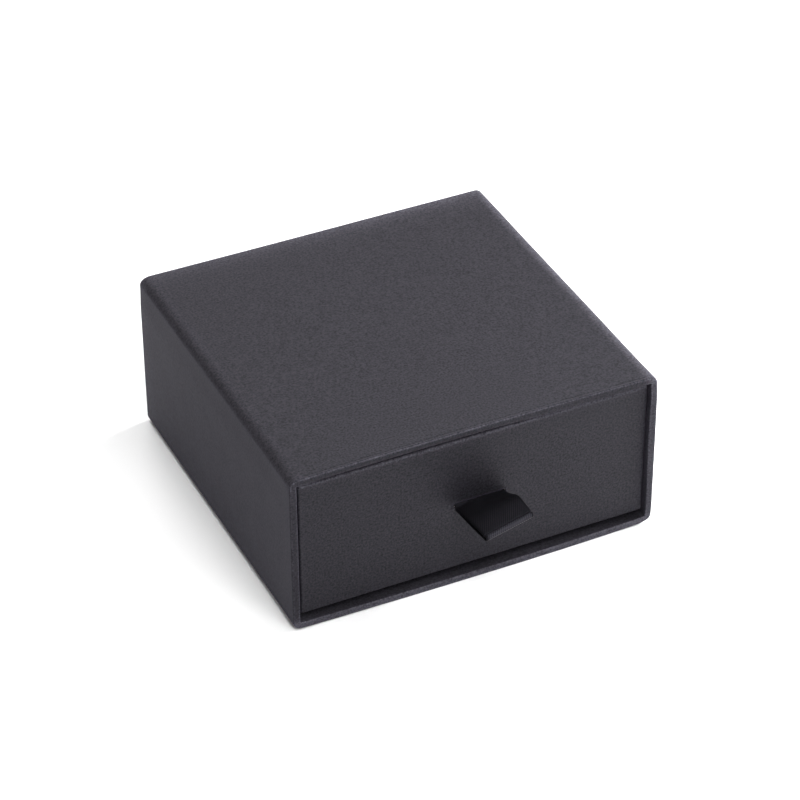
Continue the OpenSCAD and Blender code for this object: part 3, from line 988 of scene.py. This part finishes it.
def slit_faces(path, around):
    """The sheet's quads without those that lie in the slit, and the slit's edges in each skin."""
    left, right = (next(k for k, s in enumerate(DRAWER_A) if abs(s - end) < 1e-3) for end in SLIT_ENDS)
    low, high = SLIT_Z - SLIT_HALF_H, SLIT_Z + SLIT_HALF_H
    skins = {}
    for i, (inset, z) in enumerate(path):
        if abs(z - low) < 1e-6 or abs(z - high) < 1e-6:
            skins.setdefault(round(inset, 4), []).append(i)
    skip = []
    for pair in skins.values():
        skip += [(i, k) for i in range(min(pair), max(pair)) for k in range(left, right)]
    faces = loft_faces(len(path), around, skip)

    def ring_start(inset, z):
        return around * min(skins[round(inset, 4)], key=lambda i: abs(path[i][1] - z))

    for a, b in ((0.0, PAPER), (WALL - PAPER, WALL)):
        for z in (low, high):
            i, j = ring_start(a, z), ring_start(b, z)
            for k in range(left, right):
                faces.append((i + k, i + k + 1, j + k + 1, j + k))
        for k in (left, right):
            i_low, i_high = ring_start(a, low), ring_start(a, high)
            j_low, j_high = ring_start(b, low), ring_start(b, high)
            faces.append((i_low + k, i_high + k, j_high + k, j_low + k))
    return faces


def drawer_worn_and_highlit(rings, inset, over_x, over_y, shown):
    """How rubbed the paper is, with a painted highlight: most along the rim, where it is a painted
    highlight as well as rub, less at the slit, the foot and the corners.
    """
    x, y, z = np.moveaxis(rings, -1, 0)
    # Along the rim this is a painted highlight on the top edge as well as rub
    at_rim = bell(DRAWER_TOP_Z - z, 0.6)
    at_foot = bell(z - DRAWER_FLAP_Z, 0.9) * bell(inset, 0.8)
    upright = bell(np.minimum(over_x, over_y) - WALL, 0.8) * (inset < 0.01)
    at_slit = bell(np.abs(z - SLIT_Z) - SLIT_HALF_H, 0.5)
    at_slit = at_slit * (np.abs(x - RIBBON_X) < SLIT_HALF_W + 0.3) * (y < DRAWER_MID_Y)
    return shown * np.clip(0.8 * at_rim + 0.2 * at_foot + 0.1 * upright + 0.3 * at_slit, 0, 1)


def build_drawer_wrap():
    """One sheet of covering paper: flaps under the base, walls, rim, down inside, and the slit."""
    path, visible = drawer_path()
    rings, inset, shown = sheet_rings(path, visible, drawer_ring)
    x, y, z = np.moveaxis(rings, -1, 0)
    over_x = np.abs(x - DRAWER_X) - (DRAWER_W / 2 - WALL)
    over_y = np.abs(y - DRAWER_MID_Y) - (DRAWER_D / 2 - WALL)

    # At each corner of the rim one side's paper lies over the next one's, up to the mitre
    lap, _ = corner_lap(over_x, over_y, 50)
    on_rim = shown * smoothstep(0.05, 0.4, inset) * (z > DRAWER_TOP_Z - 0.6) * (inset < WALL - 0.05)
    z += on_rim * DRAWER_LAP * lap
    # Rub and a painted highlight along the top edge, kept as a share for the material
    worn_and_painted_light = drawer_worn_and_highlit(rings, inset, over_x, over_y, shown)
    # Painted highlight along the drawer's top front edge, kept as the pale share
    pale = 0.544 * shown * bell(DRAWER_TOP_Z - 0.1 - z, 0.35) * (inset < 0.5)

    on_outer = shown * np.clip(1.0 - inset / WALL, 0.0, 1.0)
    co = settle_drawer(rings.reshape(-1, 3), on_outer.ravel())
    obj = new_piece("drawer_cover", co, slit_faces(path, rings.shape[1]), DRAWER_PAPER)
    set_shares(obj, "worn_and_painted_light", worn_and_painted_light)
    set_shares(obj, "pale", pale)
    ripple(obj, 0.04, 18.0, 11, mask=lambda p: (p[:, 2] > DRAWER_FLAP_Z + 1) * 1.0)
    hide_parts("drawer_wrap_paper")
    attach(obj, "drawer")


# ---- Ribbon ----

# In the ribbon's functions f is how far a point is in front of the drawer, h is how far it is
# above the loop's middle, and u is its share of the ribbon's width from the left
FOLD_F = LOOP_L - LOOP_OPEN / 2 - RIBBON_T
TAIL_BEND_R = 0.28
BEND_N = 6
FOLD_N = 14


def half_gap(f):
    """Half the gap between the loop's two runs."""
    parted = smoothstep(0, 1, (f - LOOP_START) / (PART_SHARE * (FOLD_F - LOOP_START)))
    return LAYER_Z + (LOOP_OPEN / 2 - LAYER_Z) * float(parted)


def loop_height(f, u):
    """How far the loop lies above the slit."""
    if f <= 0:
        return 0.0
    twist = u * LOOP_TWIST * float(smoothstep(0, 1, f / (TWIST_SHARE * LOOP_L)))
    droop = LOOP_DROOP * max(1 - u / DROOP_SHARE, 0.0) ** 1.3
    droop *= float(smoothstep(0, 0.35, f)) * (1 - f / LOOP_L)
    return LOOP_RISE * f / LOOP_L + twist - droop


def ribbon_line():
    """The ribbon's middle line from the upper tail's end to the lower one's, as (f, h)."""
    mid = RIBBON_T / 2
    root = LAYER_Z + mid
    tail_f = DRAWER_FRONT_Y - FRONT_INNER_Y - mid
    upper = [(tail_f, h) for h in steps(TAIL_L + LAYER_Z, root + TAIL_BEND_R, 12)]
    bend_f, bend_h = tail_f + TAIL_BEND_R, root + TAIL_BEND_R
    upper += arc_points(bend_f, bend_h, TAIL_BEND_R, 180, 270, BEND_N)[:-1]
    upper += [(f, root) for f in steps(bend_f, 0.0, 6)]
    along = [f for f in steps(0.0, FOLD_F, 34)[1:] if abs(f - CREASE_F) > 0.65]
    along += [CREASE_F + v for v in (-0.6, -0.4, -0.25, -0.12, 0.0, 0.12, 0.25, 0.4, 0.6)]
    along += [0.1, 0.2, 0.3]
    upper += [(f, half_gap(f) + mid) for f in sorted(along)]
    fold = arc_points(FOLD_F, 0.0, LOOP_OPEN / 2 + mid, 90, -90, FOLD_N)[:-1]
    lower = [(f, -h) for f, h in reversed(upper)]
    return upper + fold + lower


def ribbon_section():
    """A flat strip with rounded selvedges slightly thicker than its middle, as (u, offset)."""
    us = [0.0, 0.012, 0.03, 0.06, 0.1] + steps(0.16, 0.84, 15) + [0.9, 0.94, 0.97, 0.988, 1.0]
    half_t = [0.35, 0.85, 1.0, 1.0, 0.88] + [0.85] * 15 + [0.88, 1.0, 1.0, 0.85, 0.35]
    upper = [(u, t * RIBBON_T / 2) for u, t in zip(us, half_t)]
    return upper + [(u, -t) for u, t in reversed(upper)]


def ribbon_painted_light_and_rub(f, u):
    """Painted light on the ribbon, with rub at its fold: full along its fold, a little on its runs
    behind the crease, rising from 5 to 10 mm out, and none in a painted shade line at the crease.
    """
    # Past 5 mm the runs carry painted light, and the dip to 0 at the crease is a painted shade line;
    # the fold is painted light with rub
    fold = float(smoothstep(CREASE_F + 0.1, CREASE_F + 0.5, f))
    runs = float(smoothstep(5.0, 10.0, f)) * (1.0 - math.exp(-((f - CREASE_F) / 0.42) ** 2))
    inside_selvedge = float(smoothstep(0.02, 0.07, min(u, 1 - u)))
    return (0.16 * runs + 0.84 * fold) * inside_selvedge


def build_ribbon():
    """One strip: glued tail, out through the slit, folded back on itself, and in again."""
    line = np.array(ribbon_line())
    run = np.concatenate([[0], np.cumsum(np.hypot(*np.diff(line, axis=0).T))])
    tangent = np.gradient(line, axis=0)
    tangent /= np.hypot(*tangent.T)[:, None]
    normal = np.stack([-tangent[:, 1], tangent[:, 0]], 1)

    section = ribbon_section()
    verts, lay, worn_and_painted_light = [], [], []
    for (f, h), n, s in zip(line, normal, run):
        for u, t in section:
            ff, hh = f + n[0] * t, h + n[1] * t
            if h > 0:
                hh -= CREASE_DEPTH * math.exp(-((f - CREASE_F) / CREASE_REACH) ** 2)
            moved_in = (LOOP_LEFT_IN * (1 - u) - LOOP_RIGHT_IN * u) * max(ff, 0.0) / LOOP_L
            x = RIBBON_X + (u - 0.5) * RIBBON_W + moved_in
            verts.append((x, DRAWER_FRONT_Y - ff, SLIT_Z + hh + loop_height(ff, u)))
            lay.append((u * RIBBON_W, s))
            # The ribbon's painted light and shade, with rub at its fold, kept as a share for its
            # material
            worn_and_painted_light.append(ribbon_painted_light_and_rub(ff, u))
    obj = new_piece("ribbon_pull", verts, strip_faces(len(line), len(section)), RIBBON)
    uv = obj.data.uv_layers.new(name="lay")
    for loop in obj.data.loops:
        uv.data[loop.index].uv = lay[loop.vertex_index]
    set_shares(obj, "worn_and_painted_light", np.array(worn_and_painted_light))
    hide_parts("pull_ribbon", "ribbon_tails")
    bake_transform(obj)


def build_patch():
    """Paper glued over the ribbon's tails, raised where they lie under it."""
    half_u, half_v = (PATCH_HI[0] - PATCH_LO[0]) / 2, (PATCH_HI[2] - PATCH_LO[2]) / 2
    tail_u, tail_v = RIBBON_W / 2, TAIL_L + LAYER_Z

    def raised(u, v):
        inside = min(tail_u - abs(u), tail_v - abs(v))
        return RIBBON_T * float(smoothstep(-0.55, 0.02, inside))

    obj = build_sheet(
        "tail_patch", steps(-half_u, half_u, 57), steps(-half_v, half_v, 81),
        lambda u, v: PAPER + raised(u, v) - edge_curl(u, v, half_u, half_v, PATCH_CURL),
        lambda u, v: raised(u, v) * 0.98,
        lambda u, v, h: (RIBBON_X + u, FRONT_INNER_Y + h, SLIT_Z + v), COVERING)
    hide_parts("ribbon_patch")
    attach(obj, "drawer")


# ---- Put together ----

build_sleeve_wrap()
build_sleeve_board("top_wall", "sleeve_top_board", 0)
build_sleeve_board("left_wall", "sleeve_left_board", 90)
build_sleeve_board("bottom_wall", "sleeve_bottom_board", 180)
build_sleeve_board("right_wall", "sleeve_right_board", -90)
build_wall_lining()
build_back_panel()
build_drawer_wrap()
build_base_panel()
build_ribbon()
build_patch()

# The pieces that keep their CAD shape
BARE_BOARDS = ("sleeve_back_board", "drawer_base_board", "drawer_front_board", "drawer_back_board",
               "drawer_left_board", "drawer_right_board")
FLAT_LININGS = ("sleeve_end_lining", "drawer_floor_paper")
for node_names, node_material in ((BARE_BOARDS, GREYBOARD), (FLAT_LININGS, LINING)):
    for node_name in node_names:
        node_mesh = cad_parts[node_name].data
        node_mesh.materials.clear()
        node_mesh.materials.append(node_material)


# ---- Stage, lights and camera, in metres ----

FLOOR_HALF = 6.0
FLOOR_Z = -0.00002
BACKDROP_R = 5.9
BACKDROP_FOOT_Z = -0.01
BACKDROP_TOP_Z = 4.0
BACKDROP_N = 48
LIGHTS_AIM = (0, 0, 0.02)
LIGHTS = (
    # name, place, width, depth and power in watts
    ("right_card", (0.466, 0.0, 0.291), 0.356, 0.22, 6.8),
    ("front_card", (0.0, -0.466, 0.291), 0.356, 0.22, 1.6),
    ("tent_front", (0.0, -0.35, 0.55), 0.34, 0.34, 1.95),
    ("tent_middle", (0.0, 0.0, 0.55), 0.34, 0.34, 0.35),
    ("back_overhead", (0.0, 0.513, 1.41), 0.5, 0.5, 5.15),
    ("left_overhead", (-0.513, 0.0, 1.41), 0.5, 0.5, 2.0),
    ("back_card", (0.0, 1.3, 0.75), 1.05, 0.6, 12.6),
)
CAMERA_AT = (-0.24022, -0.511756, 0.434615)
CAMERA_LOOKS_AT = (0.001556, -0.001156, 0.02075)
CAMERA_ROLL = -0.279
CAMERA_LENS = 135.386
CAMERA_SENSOR = 36.0


def build_floor():
    """A plain square floor, a hair under the object."""
    s = FLOOR_HALF
    corner_points = [(-s, -s, 0), (s, -s, 0), (s, s, 0), (-s, s, 0)]
    obj = add_mesh("floor", corner_points, [(0, 1, 2, 3)], floor_material())
    obj.location = (0, 0, FLOOR_Z)


def build_backdrop():
    """A white ring far round the floor, there for the camera alone: it lights nothing."""
    n = BACKDROP_N
    turns = [2 * math.pi * i / n for i in range(n)]
    ring = [(BACKDROP_R * math.cos(a), BACKDROP_R * math.sin(a)) for a in turns]
    verts = [(x, y, BACKDROP_FOOT_Z) for x, y in ring] + [(x, y, BACKDROP_TOP_Z) for x, y in ring]
    faces = [(i, (i + 1) % n, n + (i + 1) % n, n + i) for i in range(n)]
    mat, tree, shader = new_material("white_backdrop")
    tone = spread(tree, add_noise(tree, object_coords(tree), 0.5), 0.99, 1.0)
    set_inputs(tree, shader, {"Base Color": (0.0, 0.0, 0.0, 1.0), "Emission Strength": tone,
                              "Emission Color": (1.0, 1.0, 1.0, 1.0)})
    obj = add_mesh("backdrop", verts, faces, mat)
    obj.visible_diffuse = obj.visible_glossy = False
    obj.visible_transmission = obj.visible_shadow = False


def stand(obj, at, towards, roll=0.0):
    """Puts a light or the camera in its place, facing a point and rolled by so many degrees."""
    obj.location = at
    obj.rotation_mode = "QUATERNION"
    aim = (Vector(towards) - Vector(at)).to_track_quat("-Z", "Y")
    obj.rotation_quaternion = aim @ Matrix.Rotation(math.radians(roll), 3, "Z").to_quaternion()


def add_light(name, at, width, depth, power):
    """A rectangular area light that the camera doesn't see."""
    data = bpy.data.lights.new(name, "AREA")
    data.shape = "RECTANGLE"
    data.size, data.size_y = width, depth
    data.energy = power
    obj = add_object(name, data)
    obj.visible_camera = False
    stand(obj, at, LIGHTS_AIM)


def build_world():
    """The world is black: all the light comes from the area lights and the floor's glow."""
    world = bpy.data.worlds.new("studio")
    world.use_nodes = True
    world.node_tree.nodes["Background"].inputs["Strength"].default_value = 0.0
    bpy.context.scene.world = world
    bpy.context.scene.view_settings.view_transform = "Standard"


def build_camera():
    """The camera that took the photograph, worked out from the box's straight edges."""
    data = bpy.data.cameras.new("camera")
    data.lens = CAMERA_LENS
    data.sensor_width = CAMERA_SENSOR
    data.clip_start, data.clip_end = 0.01, 50.0
    obj = add_object("camera", data)
    stand(obj, CAMERA_AT, CAMERA_LOOKS_AT, CAMERA_ROLL)
    bpy.context.scene.camera = obj


build_floor()
build_backdrop()
for light in LIGHTS:
    add_light(*light)
build_world()
build_camera()
